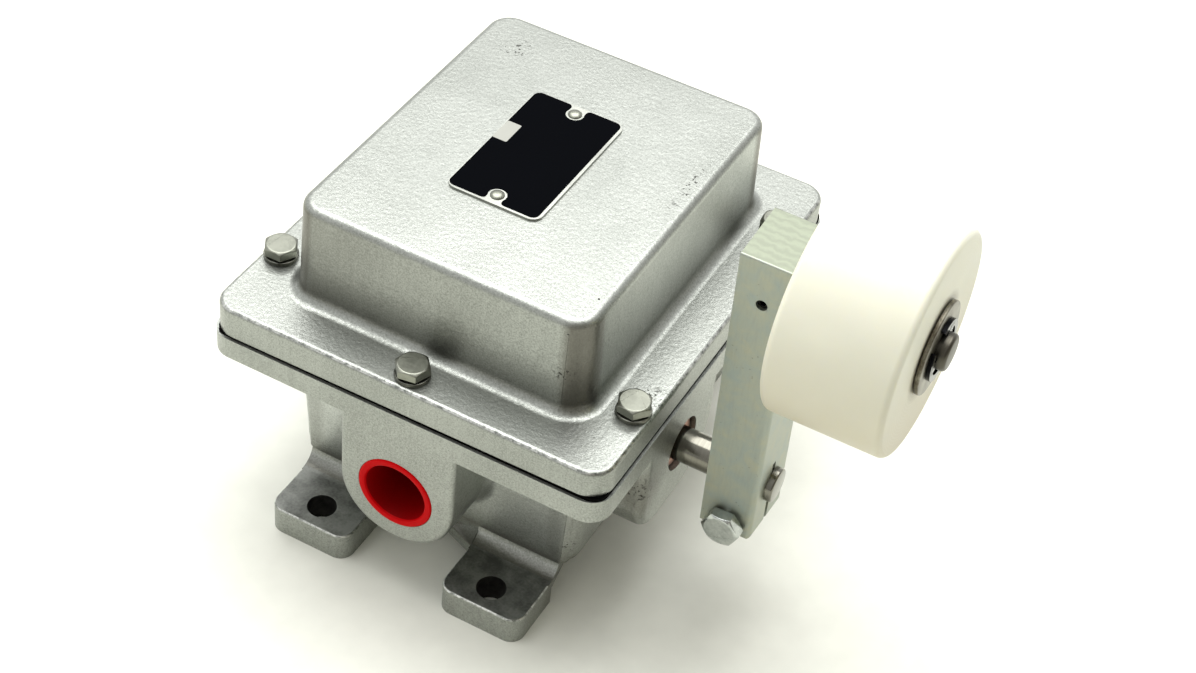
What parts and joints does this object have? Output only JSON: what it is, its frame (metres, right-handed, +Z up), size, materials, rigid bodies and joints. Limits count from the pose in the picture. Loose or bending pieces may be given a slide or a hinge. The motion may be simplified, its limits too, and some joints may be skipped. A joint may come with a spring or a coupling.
{
  "type": "roller lever position switch",
  "caption": "Cast housing with a bolted cover, feet and a conduit hub; a spring-centred shaft carries a clamped lever with a nylon roller that works snap switches inside.",
  "frame": {"origin": "on the mounting plane under the feet, at the centre of the foot holes", "axes": "+X along the shaft towards the lever and roller, +Y away from the conduit hub, +Z up from the mounting plane"},
  "size_m": [0.2379, 0.1806, 0.19],
  "materials": {
    "cast_aluminium": "as cast, bead blasted",
    "gasket_rubber": "matte",
    "stainless_steel": "bright",
    "plug_plastic": "satin",
    "plate_enamel": "satin black with a bare border",
    "bronze": "machined",
    "zinc_plate": "zinc plated, dull",
    "ground_steel": "ground",
    "spring_steel": "dark oiled",
    "switch_plastic": "moulded",
    "plunger_plastic": "moulded",
    "terminal_brass": "bright",
    "nylon": "turned, satin"
  },
  "bodies": {
    "housing": {"base_casting": "cast_aluminium", "cover_casting": "cast_aluminium", "cover_gasket": "gasket_rubber", "cover_bolts": "stainless_steel", "cover_lock_washers": "stainless_steel", "conduit_plug": "plug_plastic", "name_plate": "plate_enamel", "plate_rivets": "stainless_steel", "outer_bush": "bronze", "inner_bush": "bronze", "shaft_seal": "gasket_rubber", "switch_bracket": "zinc_plate", "bracket_screws": "stainless_steel", "first_switch": "switch_plastic", "second_switch": "switch_plastic", "switch_screws": "stainless_steel", "terminal_screws": "terminal_brass", "ground_screw": "stainless_steel", "return_spring": "spring_steel"},
    "lever": {"shaft": "ground_steel", "shaft_retaining_ring": "spring_steel", "lever_arm": "zinc_plate", "clamp_bolt": "stainless_steel", "axle_set_screw": "spring_steel", "first_cam": "ground_steel", "second_cam": "ground_steel", "spring_collar": "zinc_plate", "shaft_set_screws": "stainless_steel", "roller_axle": "ground_steel", "inner_axle_washer": "zinc_plate", "outer_axle_washer": "zinc_plate", "axle_clip": "spring_steel"},
    "roller": {"roller": "nylon"},
    "first_plunger": {"first_switch_plunger": "plunger_plastic"},
    "second_plunger": {"second_switch_plunger": "plunger_plastic"}
  },
  "joints": [
    {"name": "lever_swing", "type": "hinge", "parent": "housing", "child": "lever", "pos_m": [0, -0.0255, 0.0606], "axis": [1, 0, 0], "range_deg": [-45, 45], "stiffness_Nm_per_rad": 4, "springref_deg": -0.34, "deforming": ["return_spring"]},
    {"name": "roller_spin", "type": "hinge", "parent": "lever", "child": "roller", "pos_m": [0, -0.02987, 0.1516], "axis": [1, 0, 0], "continuous": true},
    {"name": "first_plunger_press", "type": "slide", "parent": "housing", "child": "first_plunger", "axis": [0, 1, 0], "range_m": [0, 0.001], "stiffness_N_per_m": 900, "springref_m": -0.001},
    {"name": "second_plunger_press", "type": "slide", "parent": "housing", "child": "second_plunger", "axis": [0, 1, 0], "range_m": [0, 0.001], "stiffness_N_per_m": 900, "springref_m": -0.001}
  ]
}
